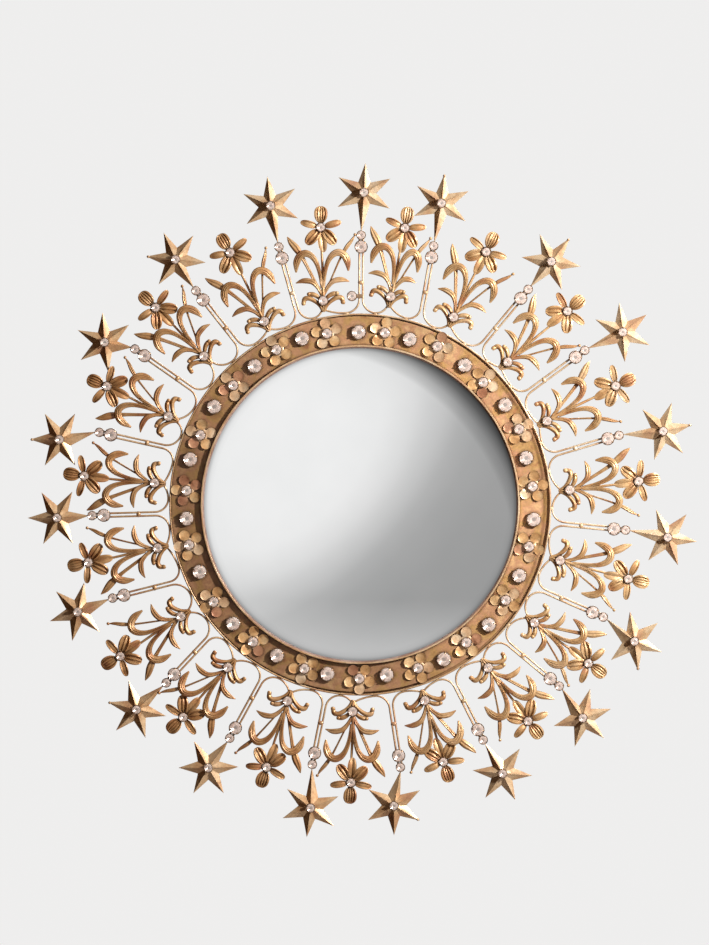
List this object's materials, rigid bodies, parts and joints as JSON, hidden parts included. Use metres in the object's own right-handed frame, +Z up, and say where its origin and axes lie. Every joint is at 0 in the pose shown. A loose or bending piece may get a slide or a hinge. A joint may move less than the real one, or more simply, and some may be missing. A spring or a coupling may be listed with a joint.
{
  "type": "sunburst wall mirror",
  "caption": "Round domed wall mirror in a gilt sheet and wire frame, with rosettes and cut stones on its band and a burst of stars and lily sprigs round it.",
  "frame": {"origin": "centre of the wooden disc's rear face, which lies against the wall, on the mirror's axis", "axes": "+Z up, front of the mirror faces -Y, +Y into the wall, +X to the viewer's right"},
  "size_m": [0.5022, 0.0231, 0.5057],
  "materials": {
    "gilt_metal": "worn matt gilding over thin sheet and wire",
    "band_metal": "satin gilding with patina",
    "cup_metal": "darkened gilding",
    "plate_metal": "dark patina",
    "mirror_glass": "silvered domed glass",
    "cut_stone": "cut and polished, slightly pink",
    "packing_card": "plain grey card",
    "board_wood": "stained and waxed",
    "hanger_steel": "dull zinc"
  },
  "bodies": {
    "frame": {"back_board": "board_wood", "back_plate": "plate_metal", "glass_packing": "packing_card", "mirror_glass": "mirror_glass", "bezel": "gilt_metal", "band_plate": "band_metal", "rim_wire": "gilt_metal", "hanger_plate": "hanger_steel", "wood_screws": "hanger_steel", "stem_wires": "gilt_metal", "stem_knots": "gilt_metal", "band_rosettes": "gilt_metal", "band_cups": "cup_metal", "band_stones": "cut_stone", "rosette_stones": "cut_stone", "stem_cups": "cup_metal", "stem_stones": "cut_stone", "star_cups": "cup_metal", "star_stones": "cut_stone", "sprig_cups": "cup_metal", "sprig_stones": "cut_stone", "star_01": "gilt_metal", "star_02": "gilt_metal", "star_03": "gilt_metal", "star_04": "gilt_metal", "star_05": "gilt_metal", "star_06": "gilt_metal", "star_07": "gilt_metal", "star_08": "gilt_metal", "star_09": "gilt_metal", "star_10": "gilt_metal", "star_11": "gilt_metal", "star_12": "gilt_metal", "star_13": "gilt_metal", "star_14": "gilt_metal", "star_15": "gilt_metal", "star_16": "gilt_metal", "star_17": "gilt_metal", "star_18": "gilt_metal", "star_19": "gilt_metal", "lily_sprig_01": "gilt_metal", "lily_sprig_02": "gilt_metal", "lily_sprig_03": "gilt_metal", "lily_sprig_04": "gilt_metal", "lily_sprig_05": "gilt_metal", "lily_sprig_06": "gilt_metal", "lily_sprig_07": "gilt_metal", "lily_sprig_08": "gilt_metal", "lily_sprig_09": "gilt_metal", "lily_sprig_10": "gilt_metal", "lily_sprig_11": "gilt_metal", "lily_sprig_12": "gilt_metal", "lily_sprig_13": "gilt_metal", "lily_sprig_14": "gilt_metal", "lily_sprig_15": "gilt_metal", "lily_sprig_16": "gilt_metal", "lily_sprig_17": "gilt_metal", "lily_sprig_18": "gilt_metal", "lily_sprig_19": "gilt_metal"},
    "ring": {"hanging_ring": "hanger_steel"}
  },
  "joints": [
    {"name": "ring_hinge", "type": "hinge", "parent": "frame", "child": "ring", "pos_m": [0, -0.0032, 0.095], "axis": [1, 0, 0], "range_deg": [0, 180]}
  ]
}
